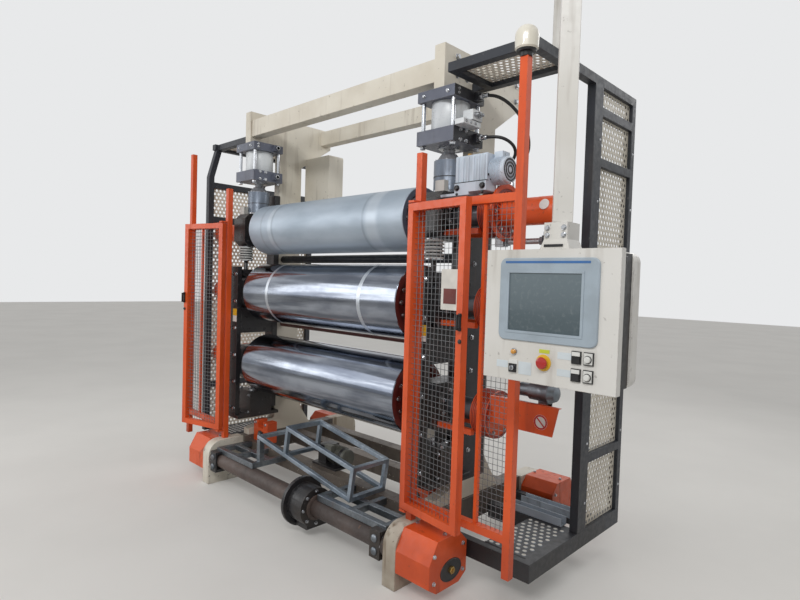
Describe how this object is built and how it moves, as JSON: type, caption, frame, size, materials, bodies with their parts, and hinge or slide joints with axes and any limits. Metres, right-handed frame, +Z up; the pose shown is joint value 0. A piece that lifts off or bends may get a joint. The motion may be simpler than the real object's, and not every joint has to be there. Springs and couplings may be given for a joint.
{
  "type": "three-roll stack",
  "caption": "Upright three-roll cooling stack on a rail carriage, with side frames, press cylinders, mesh-door cages, perforated end guards and a hanging operator console.",
  "frame": {"origin": "on the floor under the middle of the whole machine", "axes": "+X along the rolls to the operator's end, -Y to the front with the mesh doors, +Z up"},
  "size_m": [3.8994, 1.67, 3.175],
  "materials": {
    "cream_paint": "semi-gloss paint, rubbed and stained",
    "black_paint": "satin machine paint, oily",
    "orange_paint": "gloss guard paint",
    "slate_paint": "slate blue-grey paint",
    "barrel_grey": "light grey paint",
    "roll_chrome": "ground and hard-chromed roll face",
    "roll_matt": "matt blue-grey roll face",
    "brown_steel": "brown weathered tube",
    "bare_steel": "bare mill steel",
    "zinc_wire": "galvanised welded mesh",
    "hose_rubber": "black hydraulic hose with pale crimped ends",
    "screen_grey": "dark glass in a grey bezel",
    "switch_plastic": "push buttons and switch caps",
    "beacon_lens": "milky beacon dome"
  },
  "bodies": {
    "frame": {"side_frames": "cream_paint", "slide_ways": "black_paint", "keeper_bars": "black_paint", "mid_bearings": "black_paint", "press_cylinders": "slate_paint", "press_barrels": "barrel_grey", "lift_cylinders": "black_paint", "mid_roll_guards": "orange_paint", "base_frame": "cream_paint", "wheel_housings": "cream_paint", "wheel_covers": "orange_paint", "tie_tube": "brown_steel", "travel_drive": "black_paint", "base_ladders": "bare_steel", "steel_rack": "bare_steel", "cross_beams": "cream_paint", "cross_shafts": "black_paint", "rear_cabinet": "cream_paint", "cage_frame_near": "orange_paint", "cage_frame_far": "orange_paint", "cage_mesh_near": "zinc_wire", "cage_mesh_far": "zinc_wire", "platforms": "black_paint", "enclosure_frame_near": "black_paint", "enclosure_panels_near": "cream_paint", "enclosure_frame_far": "black_paint", "enclosure_panels_far": "cream_paint", "nip_gearbox": "barrel_grey", "upper_hose": "hose_rubber", "lower_hose": "hose_rubber", "roll_cradles": "orange_paint", "beacon": "beacon_lens", "console_boom": "cream_paint"},
    "top_carriage": {"top_bearings": "black_paint", "top_roll_guards": "orange_paint"},
    "bottom_carriage": {"bottom_bearings": "black_paint", "bottom_roll_guards": "orange_paint"},
    "top_roll": {"top_roll": "roll_matt"},
    "mid_roll": {"mid_roll": "roll_chrome"},
    "bottom_roll": {"bottom_roll": "roll_chrome"},
    "near_door": {"door_frame_near": "orange_paint", "door_mesh_near": "zinc_wire"},
    "far_door": {"door_frame_far": "orange_paint", "door_mesh_far": "zinc_wire"},
    "console": {"console_case": "cream_paint", "console_screen": "screen_grey", "console_controls": "switch_plastic"}
  },
  "joints": [
    {"name": "top_nip", "type": "slide", "parent": "frame", "child": "top_carriage", "axis": [0, 0, 1], "range_m": [-0.06, 0]},
    {"name": "bottom_nip", "type": "slide", "parent": "frame", "child": "bottom_carriage", "axis": [0, 0, 1], "range_m": [0, 0.09]},
    {"name": "top_roll_spin", "type": "hinge", "parent": "top_carriage", "child": "top_roll", "pos_m": [-0.28975, -0.265, 1.995], "axis": [1, 0, 0], "continuous": true},
    {"name": "mid_roll_spin", "type": "hinge", "parent": "frame", "child": "mid_roll", "pos_m": [-0.28975, -0.265, 1.5], "axis": [1, 0, 0], "continuous": true},
    {"name": "bottom_roll_spin", "type": "hinge", "parent": "bottom_carriage", "child": "bottom_roll", "pos_m": [-0.28975, -0.265, 0.936], "axis": [1, 0, 0], "continuous": true},
    {"name": "near_door_swing", "type": "hinge", "parent": "frame", "child": "near_door", "pos_m": [0.73025, -0.569, 1.2], "axis": [0, 0, 1], "range_deg": [-93, 7]},
    {"name": "far_door_swing", "type": "hinge", "parent": "frame", "child": "far_door", "pos_m": [-1.30975, -0.569, 1.2], "axis": [0, 0, 1], "range_deg": [-15, 85]},
    {"name": "console_turn", "type": "hinge", "parent": "frame", "child": "console", "pos_m": [1.66725, -0.715, 1.8], "axis": [0, 0, 1], "range_deg": [-90, 90]}
  ]
}
